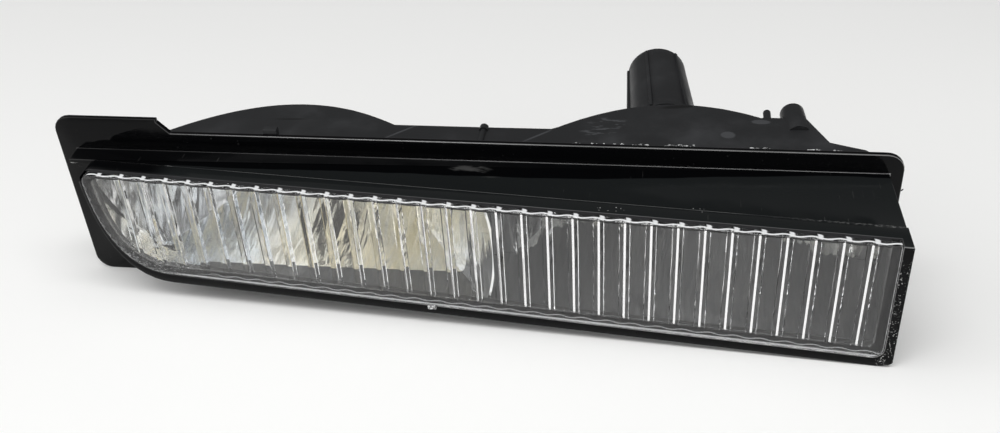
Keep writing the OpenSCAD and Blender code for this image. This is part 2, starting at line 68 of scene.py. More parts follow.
# Places on the CAD solids that finishes and new pieces refer to, in metres
BOX_TOP = 0.0289
HOUSING_TOP = 0.0309
# How far the lens is turned to the flange, and how far ahead of it the lens lies at x = 0
LENS_YAW = math.radians(4.6)
LENS_AHEAD = 0.0334
# The lower edge of the lens at x = 0, and its slope down to the right
LENS_FOOT = -0.0223
LENS_DROP = 0.0166
FLUTE_PITCH = 0.01
# The back of the lens seat and the back of the collar, behind the lens face
SEAT_DEPTH = 0.0068
COLLAR_DEPTH = 0.012
# A level near the axis of the bowls, which lies 0.4 mm higher
MID_LEVEL = 0.0025
# The inner floor of the reflectors, the place between them, and where the left one's coat ends
FLOOR_LEVEL = -0.0209
SPLIT = 0.0035
COAT_END = -0.008

# The walls at the ends of the housing: depth of their middle, thickness and height. Then for each
# the centre and radius of the round cut in it, and where it starts and ends along x.
WALL_DEPTH = 0.00485
WALL_THICKNESS = 0.0014
WALL_HEIGHT = 0.0524
WALLS = ((-0.0754, 0.06815, -0.1444, -0.1374), (0.0882, 0.0745, 0.157, 0.1633))

# Rows of glue beads: where each starts and ends along x, how many beads it has and their spread
BEAD_ROWS = (
    (0.044, 0.079, 26, 0.0004), (0.082, 0.096, 30, 0.0012), (0.115, 0.124, 8, 0.0003),
    (0.138, 0.151, 9, 0.0003),
)


# Shader sums written as Python sums


class Val:
    """One output socket that takes part in sums."""

    def __init__(self, paint, socket):
        self.paint, self.socket = paint, socket

    def _math(self, operation, *values):
        return self.paint.node("ShaderNodeMath", {"operation": operation}, *values)

    def __add__(self, other):
        return self._math("ADD", self, other)

    __radd__ = __add__

    def __mul__(self, other):
        return self._math("MULTIPLY", self, other)

    __rmul__ = __mul__

    def __sub__(self, other):
        return self._math("SUBTRACT", self, other)

    def __rsub__(self, other):
        return self._math("SUBTRACT", other, self)

    def __gt__(self, other):
        return self._math("GREATER_THAN", self, other)

    def __lt__(self, other):
        return self._math("LESS_THAN", self, other)

    def __abs__(self):
        return self._math("ABSOLUTE", self)

    def sine(self):
        return self._math("SINE", self)

    def most(self, other):
        return self._math("MAXIMUM", self, other)

    def rise(self, low, high, to_low=0.0, to_high=1.0):
        """Runs smoothly from to_low to to_high while the value goes from low to high."""
        return self.paint.node(
            "ShaderNodeMapRange", {"interpolation_type": "SMOOTHSTEP"}, self, low, high, to_low, to_high
        )

    def band(self, centre, half, edge):
        """1 within half of the centre, and 0 past the edge beyond it."""
        return abs(self - centre).rise(half, half + edge, 1.0, 0.0)


class Paint:
    """A material under construction, with its Principled shader."""

    def __init__(self, name, **constants):
        self.material = bpy.data.materials.new(name)
        self.material.use_nodes = True
        self.tree = self.material.node_tree
        self.shader = self.tree.nodes["Principled BSDF"]
        self.set(**constants)
        self.place = self.node("ShaderNodeTexCoord", {}, out="Object")

    def fill(self, socket, value):
        """Links a socket to a Val, or gives it a plain value or an opaque colour."""
        if isinstance(value, Val):
            self.tree.links.new(value.socket, socket)
        elif socket.type == "RGBA":
            socket.default_value = (*value[:3], 1.0)
        else:
            socket.default_value = value

    def node(self, kind, settings, *inputs, out=0, **named):
        """Adds a node: its settings first, then its sockets by order or by name."""
        made = self.tree.nodes.new(kind)
        for key, value in settings.items():
            setattr(made, key, value)
        for key, value in [*enumerate(inputs), *named.items()]:
            self.fill(made.inputs[key], value)
        return Val(self, made.outputs[out])

    def set(self, **sockets):
        """Sets or links sockets of the Principled shader."""
        for key, value in sockets.items():
            self.fill(self.shader.inputs[key.replace("_", " ")], value)

    def axes(self):
        """The three coordinates of the point that is painted, in metres."""
        split = self.tree.nodes.new("ShaderNodeSeparateXYZ")
        self.fill(split.inputs[0], self.place)
        return [Val(self, s) for s in split.outputs]

    def stretched(self, scale, turn=(0.0, 0.0, 0.0)):
        """Object coordinates scaled and turned, for a pattern with a direction."""
        return self.node("ShaderNodeMapping", {}, self.place, Scale=scale, Rotation=turn)

    def noise(self, scale, detail=3.0, roughness=0.5, at=None, out=0):
        return self.node(
            "ShaderNodeTexNoise", {}, Vector=at or self.place, Scale=scale, Detail=detail,
            Roughness=roughness, out=out,
        )

    def specks(self, scale, size, share, at=None):
        """Small round dots: one in some cells of a grid of random cells."""
        at = at or self.place
        near = self.node("ShaderNodeTexVoronoi", {}, Vector=at, Scale=scale, out="Distance")
        pick = self.node("ShaderNodeTexVoronoi", {}, Vector=at, Scale=scale, out="Color")
        return near.rise(size * 0.6, size, 1.0, 0.0) * (pick > 1.0 - share)

    def patch(self, x, y, centre, half, turn=0.0):
        """A soft-edged oval mark: centre and half sizes in metres, turn in degrees."""
        cos, sin = math.cos(math.radians(turn)), math.sin(math.radians(turn))
        along = ((x - centre[0]) * cos + (y - centre[1]) * sin) * (1.0 / half[0])
        across = ((y - centre[1]) * cos - (x - centre[0]) * sin) * (1.0 / half[1])
        return (along * along + across * across).rise(0.3, 1.0, 1.0, 0.0)

    def attribute(self, name):
        """The value that the piece's faces carry under a name."""
        return self.node("ShaderNodeAttribute", {"attribute_name": name}, out="Fac")

    def blend(self, mask, low, high):
        """Colour from low to high by a mask."""
        colours = {"A": low, "B": high}
        made = self.tree.nodes.new("ShaderNodeMix")
        made.data_type = "RGBA"
        self.fill(made.inputs["Factor"], mask)
        for socket in made.inputs:
            if socket.type == "RGBA":
                self.fill(socket, colours[socket.name])
        return Val(self, [o for o in made.outputs if o.type == "RGBA"][0])

    def bump(self, height, depth, under=None):
        """Surface relief: height times depth, in metres."""
        inputs = {"Height": height, "Distance": depth, "Strength": 1.0}
        if under:
            inputs["Normal"] = under
        return self.node("ShaderNodeBump", {}, **inputs)

    def second(self, mask, **constants):
        """Shows a second Principled shader where the mask is 1."""
        other = self.tree.nodes.new("ShaderNodeBsdfPrincipled")
        for key, value in constants.items():
            self.fill(other.inputs[key.replace("_", " ")], value)
        mix = self.tree.nodes.new("ShaderNodeMixShader")
        end = self.tree.nodes["Material Output"]
        self.fill(mix.inputs[0], mask)
        self.tree.links.new(self.shader.outputs[0], mix.inputs[1])
        self.tree.links.new(other.outputs[0], mix.inputs[2])
        self.tree.links.new(mix.outputs[0], end.inputs["Surface"])


# Finishes


def behind_lens(x, y):
    """How far a painted point lies behind the lens face."""
    return (y + LENS_AHEAD) * math.cos(LENS_YAW) + x * math.sin(LENS_YAW)


def bezel_plastic(look):
    p = Paint(
        "glossy_bezel_plastic", IOR=1.5, Specular_IOR_Level=0.12, Coat_IOR=2.8, Coat_Roughness=0.12,
    )
    x, y, z = p.axes()
    depth = behind_lens(x, y)
    inside = p.attribute("inner")
    coated = inside * x.rise(-0.119, -0.124)
    smudge = p.noise(22.0, 4.0)
    # Scratches, dust and the chipped rim at the right
    scuffs = p.noise(900.0, 2.0, at=p.stretched((1.0, 0.06, 1.0), (0.0, 0.0, 0.5)))
    scratch = scuffs.rise(0.7, 0.75) * smudge.rise(0.4, 0.6)
    dust = p.specks(330.0, 0.2, 0.02)
    right_rim = x.rise(0.1655, 0.168) * y.rise(-0.03, -0.038) * z.rise(0.024, 0.02)
    chipped = right_rim * p.noise(1500.0, 3.0, 0.6).rise(0.62, 0.66)
    # The painted highlight along the line behind the collar on the top of the box, wider at its right
    # end, and the smear and bits on that top
    top = z.rise(BOX_TOP - 0.0007, BOX_TOP - 0.0005) * (y < 0.0)
    line = depth.band(COLLAR_DEPTH, 0.0001, 0.0002) * x.rise(-0.105, -0.09) * x.rise(0.118, 0.108)
    wide_highlight = depth.band(COLLAR_DEPTH, 0.0003, 0.0009) * x.rise(0.11, 0.17)
    wide_highlight = wide_highlight * p.noise(700.0, 3.0, 0.6).rise(0.45, 0.62)
    parting_highlight = top * (line * p.noise(60.0, 3.0).rise(0.2, 0.4)).most(wide_highlight) * 0.3
    streaks = p.noise(260.0, 4.0, 0.6, at=p.stretched((0.25, 1.0, 1.0), (0.0, 0.0, 0.33)))
    smear = p.patch(x, y, (0.005, -0.006), (0.015, 0.0045), -19.0) * streaks.rise(0.46, 0.62) * 0.09
    bits = p.patch(x, y, (0.063, -0.0305), (0.006, 0.0022))
    bits = bits.most(p.patch(x, y, (0.097, -0.0285), (0.004, 0.0022))) * p.specks(1300.0, 0.34, 0.3)
    # Scratches, dust, the chip and the painted highlight behind the collar all lighten towards pale grey
    wear_and_highlight = chipped.most(scratch * 0.04).most(dust * 0.1).most(parting_highlight).most(top * smear.most(bits))
    # The top is dull from a ragged line backwards
    rubbed_from = x.rise(0.03, 0.16, -0.0118, -0.0038) + p.noise(45.0, 2.0) * 0.002
    dull = top * (y - rubbed_from).rise(0.0003, -0.0003) * x.rise(-0.13, -0.116)
    plain = p.blend(dull, look.bezel_colour, look.dull_colour)
    plain = p.blend(inside, plain, look.inner_colour)
    plain = p.blend(coated, plain, look.reflector_colour)
    p.set(Base_Color=p.blend(wear_and_highlight, plain, (0.45, 0.45, 0.44)), Metallic=coated)
    clean = look.bezel_roughness
    p.set(Roughness=smudge.rise(0.3, 0.75, clean, clean + 0.09) + wear_and_highlight * 0.3)
    lit = x.rise(-0.16, 0.03, 0.15, 1.0) * smudge.rise(0.3, 0.55, 0.5, 1.0)
    p.set(Coat_Weight=p.attribute("edge") * lit)
    wave = p.noise(38.0, 2.0)
    p.set(Normal=p.bump(wave + scratch * 0.05, 0.00035))
    return p.material


def housing_plastic(look, name="dull_housing_plastic"):
    p = Paint(name, IOR=1.47, Specular_IOR_Level=0.3)
    x, y, z = p.axes()
    cloud = p.noise(35.0, 5.0, 0.6)
    grain = p.noise(1500.0, 2.0)
    dust = p.specks(260.0, 0.2, 0.06)
    pale = cloud.rise(0.45, 0.8) * 0.5 + dust * 0.6
    # Marks on the upper side: a fan of fine rays, painted highlights along the creases at the ends of
    # the domes, pale spots, a dark dash at the left and a painted shadow in the gap at the base of the
    # turn holder
    up = z > HOUSING_TOP - 0.0024
    fan = p.patch(x, y, (0.057, 0.025), (0.012, 0.008), 35.0)
    rays = p.noise(420.0, 3.0, 0.6, at=p.stretched((0.3, 1.0, 1.0), (0.0, 0.0, -0.9)))
    fan = fan * rays.rise(0.52, 0.62)
    crease_highlights = p.patch(x, y, (-0.028, 0.017), (0.011, 0.0006), -137.0)
    crease_highlights = crease_highlights.most(p.patch(x, y, (0.03, 0.0165), (0.009, 0.0006), 41.0))
    spots = p.patch(x, y, (0.108, 0.0212), (0.0035, 0.003))
    spots = spots.most(p.patch(x, y, (0.1217, 0.032), (0.0045, 0.002)))
    pale = pale.most(up * (fan * 0.9).most(crease_highlights).most(spots * cloud.rise(0.35, 0.5)) * 1.4)
    # A dark dash at the left, and a painted shadow where the turn holder meets the housing
    dash_and_shadow = p.patch(x, y, (-0.079, 0.0243), (0.0085, 0.0006), 3.0)
    dash_and_shadow = dash_and_shadow.most(p.patch(x, y, (0.0875, 0.0425), (0.009, 0.0016), 9.0))
    dark = look.housing_colour
    pale = p.blend(pale, dark, [3.2 * c for c in dark])
    p.set(Base_Color=p.blend(up * dash_and_shadow * 0.8, pale, (0.002, 0.002, 0.002)))
    p.set(Roughness=cloud.rise(0.3, 0.7, 0.38, 0.55))
    p.set(Normal=p.bump(grain, 0.00003))
    return p.material


def lens_plastic():
    p = Paint(
        "clear_lens_plastic", Base_Color=(0.995, 0.998, 1.0), IOR=1.49, Transmission_Weight=1.0,
    )
    x, y, z = p.axes()
    depth = behind_lens(x, y)
    # Dried drops in the left corner
    corner = x.rise(-0.1, -0.135) * z.rise(0.0, -0.012)
    drops = p.specks(800.0, 0.42, 0.6) * corner
    p.set(Roughness=p.noise(60.0, 4.0).rise(0.45, 0.8, 0.0, 0.03))
    p.set(Normal=p.bump(drops, 0.00012))
    dust = p.specks(700.0, 0.17, 0.02).most(drops * 0.2)
    # On the upper edge, a painted highlight at each flute and a wavy painted highlight line
    top = z.rise(BOX_TOP - 0.0005, BOX_TOP - 0.0002)
    along = x * (math.tau / FLUTE_PITCH / math.cos(LENS_YAW))
    cap_highlights = (along + 1.2).sine().rise(0.7, 0.97) * top * depth.rise(0.0003, 0.0006) * 0.75
    wave = (along + 2.9).sine()
    line = top * (depth - (wave * 0.0005 + 0.0012)).band(0.0, 0.0002, 0.0004)
    # On the face, painted highlights along the lower edge and at the rounded ends of the flutes
    foot = z + x * LENS_DROP
    rim_highlight = foot.band(LENS_FOOT + 0.0007, 0.0002, 0.0003) * depth.rise(0.0004, 0.0002)
    rim_highlight = rim_highlight * x.rise(-0.135, -0.115)
    join_highlights = (foot + wave * 0.0004).band(LENS_FOOT + 0.0024, 0.0001, 0.0003)
    join_highlights = join_highlights * depth.rise(0.0003, 0.0002) * 0.35 * x.rise(-0.12, -0.1)
    highlight_lines = cap_highlights.most(line * 0.8).most(rim_highlight * 0.5).most(join_highlights)
    flaws = p.noise(300.0, 3.0, 0.6).rise(0.3, 0.6, 0.45, 1.0)
    # The pale second finish shows dust specks, and painted highlights on the outline, the upper edge,
    # the lower edge and the ends of the flutes
    pale = dust.most(p.attribute("edge") * flaws).most(highlight_lines)
    p.second(pale, Base_Color=(0.9, 0.91, 0.92, 1.0), Roughness=0.4)
    return p.material


def clear_glass(name):
    p = Paint(name, Base_Color=(0.98, 0.99, 1.0), IOR=1.45, Transmission_Weight=1.0)
    p.set(Roughness=p.noise(80.0, 3.0).rise(0.4, 0.8, 0.0, 0.04))
    return p.material


def reflector_metal(look):
    p = Paint("metallised_reflector")
    x, y, z = p.axes()
    # The floor is bare plastic in front of a ragged edge of the coat
    floor = z < FLOOR_LEVEL + 0.0002
    arch = x.rise(0.015, 0.04, 0.002, 0.0145) - x.rise(0.115, 0.155, 0.0, 0.012)
    streaks = p.noise(260.0, 4.0, 0.6, at=p.stretched((1.0, 0.35, 0.12), (0.0, 0.35, 0.0)))
    arch = arch + (streaks - 0.5) * 0.012
    bare = ((x > SPLIT) * (y < arch)).most((x < SPLIT) * (x > -0.118) * (y < COAT_END)) * floor
    cloud = p.noise(30.0, 4.0, 0.6)
    yellow = p.patch(x, y, (-0.052, 0.008), (0.04, 0.03)).most(cloud.rise(0.5, 0.7) * 0.5)
    coat = p.blend(yellow, look.reflector_colour, look.reflector_tint)
    coat = p.blend(p.patch(x, y, (-0.115, 0.0), (0.03, 0.02)) * 0.6, coat, look.reflector_blue)
    p.set(Base_Color=p.blend(bare, coat, look.inner_colour), Metallic=1.0 - bare)
    folds = p.noise(75.0, 3.0, 0.55, at=p.stretched((1.0, 0.3, 0.3), (0.0, 0.6, 0.2)))
    p.set(Roughness=streaks.rise(0.35, 0.7, 0.08, 0.22))
    p.set(Normal=p.bump(folds, 0.0032, p.bump(streaks, 0.0004)))
    return p.material


def dried_glue():
    p = Paint("dried_glue", IOR=1.5, Transmission_Weight=0.3)
    cloud = p.noise(900.0, 3.0)
    p.set(Base_Color=p.blend(cloud.rise(0.35, 0.65), (0.12, 0.12, 0.12), (0.75, 0.76, 0.76)))
    p.set(Roughness=cloud.rise(0.3, 0.7, 0.1, 0.35))
    return p.material


def dull_rubber(name, colour, roughness=0.65):
    p = Paint(name, Specular_IOR_Level=0.35)
    lumps = p.noise(420.0, 4.0, 0.6)
    pale = [min(1.0, 1.9 * c) for c in colour]
    p.set(Base_Color=p.blend(lumps.rise(0.4, 0.75), colour, pale))
    p.set(Roughness=lumps.rise(0.3, 0.7, roughness, roughness + 0.15))
    p.set(Normal=p.bump(lumps, 0.0001))
    return p.material


def plain_metal(name, colour, roughness):
    p = Paint(name, Metallic=1.0)
    marks = p.noise(700.0, 3.0, at=p.stretched((1.0, 0.1, 1.0)))
    p.set(Base_Color=p.blend(marks.rise(0.35, 0.7), colour, [0.7 * c for c in colour]))
    p.set(Roughness=marks.rise(0.3, 0.7, roughness, roughness + 0.15))
    return p.material


# Modelling helpers


def only(piece):
    """Makes one object the selected and active one."""
    if bpy.context.object and bpy.context.object.mode != "OBJECT":
        bpy.ops.object.mode_set(mode="OBJECT")
    for other in list(bpy.context.view_layer.objects):
        other.select_set(False)
    piece.hide_set(False)
    piece.select_set(True)
    bpy.context.view_layer.objects.active = piece


def applied():
    """Moves the place, turn and scale of the selected pieces into their points."""
    bpy.ops.object.transform_apply(location=True, rotation=True, scale=True)


def cad_copy(node, name):
    """A merged copy of a CAD node's mesh, with its flat faces cut up anew."""
    piece = bpy.data.objects.new(name, frame["nodes"][node].data.copy())
    bpy.context.scene.collection.objects.link(piece)
    only(piece)
    bpy.ops.object.mode_set(mode="EDIT")
    bpy.ops.mesh.select_all(action="SELECT")
    bpy.ops.mesh.remove_doubles(threshold=0.000002)
    bpy.ops.mesh.dissolve_limited(angle_limit=math.radians(0.4))
    bpy.ops.mesh.quads_convert_to_tris(quad_method="BEAUTY", ngon_method="BEAUTY")
    bpy.ops.object.mode_set(mode="OBJECT")
    bpy.ops.mesh.customdata_custom_splitnormals_clear()
    return piece


def modified(piece, kind, **settings):
    """Adds a modifier with its settings and applies it."""
    only(piece)
    modifier = piece.modifiers.new(kind.title(), kind)
    for key, value in settings.items():
        setattr(modifier, key, value)
    bpy.ops.object.modifier_apply(modifier=modifier.name)


def marked(piece, name, test):
    """Writes a value on each face, under a name, by a test of the face."""
    values = [float(test(face)) for face in piece.data.polygons]
    mark = piece.data.attributes.new(name, "FLOAT", "FACE")
    mark.data.foreach_set("value", values)


def weighted(piece, width, angle):
    """Picks the sharp edges that are long enough to be rounded, by their bevel weight."""
    mesh = piece.data
    sides, shortest = {}, {}
    for face in mesh.polygons:
        for key in face.edge_keys:
            sides.setdefault(key, []).append(face.normal.copy())
    sharp = {
        key: (mesh.vertices[key[0]].co - mesh.vertices[key[1]].co).length
        for key, normals in sides.items()
        if len(normals) == 2 and normals[0].angle(normals[1], 0.0) > math.radians(angle)
    }
    for key, long in sharp.items():
        for end in key:
            shortest[end] = min(long, shortest.get(end, 1.0))
    weight = mesh.attributes.new("bevel_weight_edge", "FLOAT", "EDGE")
    for edge in mesh.edges:
        fits = edge.key in sharp and min(shortest[end] for end in edge.key) > 2.2 * width
        weight.data[edge.index].value = float(fits)


def softened(piece, width, angle=30.0, segments=2):
    """Rounds the sharp edges a little, marks them and shades the rest smooth."""
    weighted(piece, width, angle)
    piece.data.materials.clear()
    piece.data.materials.append(None)
    piece.data.materials.append(None)
    modified(
        piece, "BEVEL", width=width, segments=segments, limit_method="WEIGHT", material=1,
        use_clamp_overlap=False,
    )
    marked(piece, "edge", lambda face: face.material_index == 1)
    for face in piece.data.polygons:
        face.material_index = 0
    shaded(piece)


def shaded(piece, angle=32.0):
    only(piece)
    bpy.ops.object.shade_smooth_by_angle(angle=math.radians(angle))


def handed(piece, slot, material, *nodes):
    """Gives a finished piece its finish, its body and the nodes it stands for."""
    piece.data.materials.clear()
    piece.data.materials.append(material)
    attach(piece, BODY)
    if nodes:
        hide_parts(*nodes)
    return piece


def repainted(node, material):
    """Puts a finish on a CAD node that is shown as it is."""
    for slot in frame["nodes"][node].material_slots:
        slot.material = material


# Sizes and colours


def colour(name, words, value):
    return bpy.props.FloatVectorProperty(
        name=name, description=words, default=value, size=3, subtype="COLOR", min=0.0, max=1.0
    )


def length(name, words, value):
    return bpy.props.FloatProperty(
        name=name, description=words, default=value, unit="LENGTH", min=0.0, precision=5
    )


class LampLooks(bpy.types.PropertyGroup):
    bezel_colour: colour("Bezel", "Colour of the glossy bezel", (0.0012, 0.0013, 0.0016))
    dull_colour: colour(
        "Dull top", "Colour of the bezel's top where its gloss is gone", (0.009, 0.0102, 0.0105)
    )
    inner_colour: colour("Inside", "Colour of the bare plastic behind the lens", (0.07, 0.072, 0.075))
    bezel_roughness: bpy.props.FloatProperty(
        name="Bezel roughness", description="Roughness of the clean bezel", default=0.07, min=0.0,
        max=1.0,
    )
    bezel_edge: length("Bezel edge", "Rounding of the bezel's edges", 0.00035)
    lens_edge: length("Lens edge", "Rounding of the lens's outline", 0.00045)
    housing_colour: colour("Housing", "Colour of the rear housing", (0.014, 0.0145, 0.0155))
    housing_edge: length("Housing edge", "Rounding of the housing's edges", 0.0003)
    reflector_colour: colour("Reflector", "Colour of the metallised coat", (0.985, 0.988, 0.985))
    bead_size: length("Bead size", "Radius of the largest glue beads", 0.0005)
    coil_wire: length("Coil wire", "Radius of the wire of the wound filaments", 0.00011)
    reflector_tint: colour("Reflector tint", "Colour where the coat has yellowed", (0.97, 0.925, 0.79))
    reflector_blue: colour("Reflector blue", "Colour where the coat is thin", (0.86, 0.92, 0.99))


class LampStage(bpy.types.PropertyGroup):
    floor_colour: colour("Floor", "Colour of the floor", (0.93, 0.93, 0.92))
    floor_size: length("Floor size", "Side of the floor", 8.0)
    camera_place: bpy.props.FloatVectorProperty(
        name="Camera place", description="Where the camera stands", default=(0.08476, -0.39059, 0.29121),
        size=3, subtype="TRANSLATION", unit="LENGTH",
    )
    camera_lens: bpy.props.FloatProperty(
        name="Camera lens", description="Focal length in millimetres", default=41.95, min=1.0
    )
    sky: bpy.props.FloatProperty(
        name="Sky", description="Strength of the even light all round", default=0.285, min=0.0
    )
    bounces: bpy.props.IntProperty(
        name="Bounces", description="How often light may bounce inside the lamp", default=20, min=4
    )


# Pieces


class LampOperator(bpy.types.Operator):
    bl_options = {"REGISTER", "UNDO"}

    @property
    def look(self):
        return bpy.context.scene.lamp_looks


class LAMP_OT_bezel(LampOperator):
    """Softens the front bezel's edges and gives it its glossy black"""

    bl_idname = "lamp.bezel"
    bl_label = "Bezel"

    def execute(self, context):
        piece = cad_copy("front_bezel", "bezel_shell")
        softened(piece, self.look.bezel_edge)

        def faces_inwards(face):
            """Whether a face between the lens seat and the flange looks at the box's middle."""
            place = face.center
            if place.y > -0.0002 or behind_lens(place.x, place.y) < SEAT_DEPTH:
                return False
            middle = Vector((min(max(place.x, -0.11), 0.15), place.y, MID_LEVEL))
            return face.normal.dot(middle - place) > 0.0

        marked(piece, "inner", faces_inwards)
        handed(piece, "bezel_black", bezel_plastic(self.look), "front_bezel")
        return {"FINISHED"}


class LAMP_OT_housing(LampOperator):
    """Softens the rear housing and the turn lamp holder"""

    bl_idname = "lamp.housing"
    bl_label = "Housing"

    def execute(self, context):
        piece = cad_copy("rear_housing", "housing_shell")
        softened(piece, self.look.housing_edge)
        dull = housing_plastic(self.look)
        handed(piece, "housing_black", dull, "rear_housing")
        self.end_walls(dull)
        holder = cad_copy("turn_bulb_holder", "holder_shell")
        softened(holder, self.look.housing_edge)
        dull = housing_plastic(self.look, "dull_holder_plastic")
        handed(holder, "holder_black", dull, "turn_bulb_holder")
        return {"FINISHED"}

    def end_walls(self, material):
        """The walls that close the corners between the lip and the ends of the bowls."""
        walls = []
        for centre, radius, low, high in WALLS:
            place = ((low + high) / 2, WALL_DEPTH, MID_LEVEL)
            bpy.ops.mesh.primitive_cube_add(size=1.0, location=place)
            wall = bpy.context.object
            wall.scale = (high - low, WALL_THICKNESS, WALL_HEIGHT)
            applied()
            bpy.ops.mesh.primitive_cylinder_add(
                vertices=96, radius=radius, depth=0.01, location=(centre, WALL_DEPTH, MID_LEVEL),
                rotation=(math.pi / 2, 0.0, 0.0),
            )
            bowl = bpy.context.object
            applied()
            modified(wall, "BOOLEAN", object=bowl, operation="DIFFERENCE", solver="EXACT")
            bpy.data.objects.remove(bowl)
            walls.append(wall)
        only(walls[0])
        walls[1].select_set(True)
        bpy.ops.object.join()
        walls[0].name = "housing_end_walls"
        shaded(walls[0])
        handed(walls[0], "housing_black", material)


class LAMP_OT_lens(LampOperator):
    """Makes the clear fluted lens"""

    bl_idname = "lamp.lens"
    bl_label = "Lens"

    def execute(self, context):
        piece = cad_copy("lens", "fluted_lens")
        self.round_outline(piece)
        shaded(piece, 25.0)
        front = Vector((math.sin(LENS_YAW), math.cos(LENS_YAW), 0.0))

        def strength(face):
            """How strong the painted highlight on a face is: the outline most, its sides less, and flat
            or upper faces not.
            """
            depth = behind_lens(face.center.x, face.center.y)
            if abs(face.normal.dot(front)) > 0.98 or depth > 0.0026 or face.normal.z > 0.3:
                return 0.0
            return 1.0 if depth < self.look.lens_edge else 0.4

        marked(piece, "edge", strength)
        handed(piece, "lens_clear", lens_plastic(), "lens")
        return {"FINISHED"}

    def round_outline(self, piece):
        """Rounds the outline of the front face."""
        mesh = piece.data
        ahead = [behind_lens(v.co.x, v.co.y) < 0.00002 for v in mesh.vertices]
        count = {}
        for face in mesh.polygons:
            if all(ahead[v] for v in face.vertices):
                for key in face.edge_keys:
                    count[key] = count.get(key, 0) + 1
        only(piece)
        bpy.ops.object.mode_set(mode="EDIT")
        bpy.ops.mesh.select_mode(type="EDGE")
        bpy.ops.mesh.select_all(action="DESELECT")
        bpy.ops.object.mode_set(mode="OBJECT")
        for edge in mesh.edges:
            edge.select = count.get(edge.key) == 1
        if not any(edge.select for edge in mesh.edges):
            raise RuntimeError("the lens has no front outline")
        bpy.ops.object.mode_set(mode="EDIT")
        bpy.ops.mesh.bevel(offset=self.look.lens_edge, segments=2, clamp_overlap=True)
        bpy.ops.object.mode_set(mode="OBJECT")


class LAMP_OT_inside(LampOperator):
    """Finishes the reflectors, the bulbs and the seals"""

    bl_idname = "lamp.inside"
    bl_label = "Inside"

    def execute(self, context):
        metal = reflector_metal(self.look)
        for side in ("fog", "turn"):
            piece = cad_copy(side + "_reflector", side + "_reflector_shell")
            shaded(piece)
            handed(piece, "reflector", metal, side + "_reflector")
        sealant = dull_rubber("hardened_sealant", (0.008, 0.008, 0.009))
        repainted("lens_sealant", sealant)
        repainted("joint_sealant", sealant)
        repainted("fog_bulb_base", dull_rubber("dull_bulb_base", (0.07, 0.07, 0.072), 0.45))
        repainted("fog_bulb_seal", dull_rubber("red_seal", (0.32, 0.08, 0.05)))
        repainted("turn_holder_seal", dull_rubber("black_seal", (0.02, 0.02, 0.02)))
        glass = clear_glass("bulb_glass")
        repainted("fog_bulb_glass", glass)
        repainted("turn_bulb_glass", glass)
        wire = plain_metal("lead_wire", (0.6, 0.6, 0.58), 0.3)
        filament = plain_metal("filament_wire", (0.25, 0.25, 0.26), 0.45)
        contact = plain_metal("contact_brass", (0.75, 0.6, 0.33), 0.3)
        for bulb in ("fog_bulb", "turn_bulb"):
            repainted(bulb + "_leads", wire)
            self.coil(bulb + "_filament", filament)
        for node in ("fog_bulb_pins", "turn_bulb_cap", "turn_holder_blades"):
            repainted(node, contact)
        return {"FINISHED"}

    def coil(self, node, material):
        """A wound wire in the place of the plain rod."""
        places = [v.co for v in frame["nodes"][node].data.vertices]
        low = Vector(min(p[i] for p in places) for i in range(3))
        high = Vector(max(p[i] for p in places) for i in range(3))
        wire = self.look.coil_wire
        radius = (high.z - low.z) / 2 - wire
        pitch = wire * 3.2
        turns = int((high.x - low.x) / pitch)
        bpy.ops.mesh.primitive_circle_add(
            vertices=8, radius=wire, location=(0.0, 0.0, radius), rotation=(math.pi / 2, 0.0, 0.0)
        )
        piece = bpy.context.object
        piece.name = node + "_coil"
        applied()
        modified(
            piece, "SCREW", axis="X", angle=math.tau, screw_offset=pitch, iterations=turns, steps=16,
            render_steps=16, use_merge_vertices=False,
        )
        bpy.ops.object.mode_set(mode="EDIT")
        bpy.ops.mesh.select_all(action="SELECT")
        bpy.ops.mesh.fill_holes(sides=8)
        bpy.ops.mesh.select_all(action="SELECT")
        bpy.ops.mesh.normals_make_consistent(inside=False)
        bpy.ops.object.mode_set(mode="OBJECT")
        piece.location = (low + high) / 2 - Vector((turns * pitch / 2, 0.0, 0.0))
        applied()
        shaded(piece, 60.0)
        handed(piece, "filament", material, node)


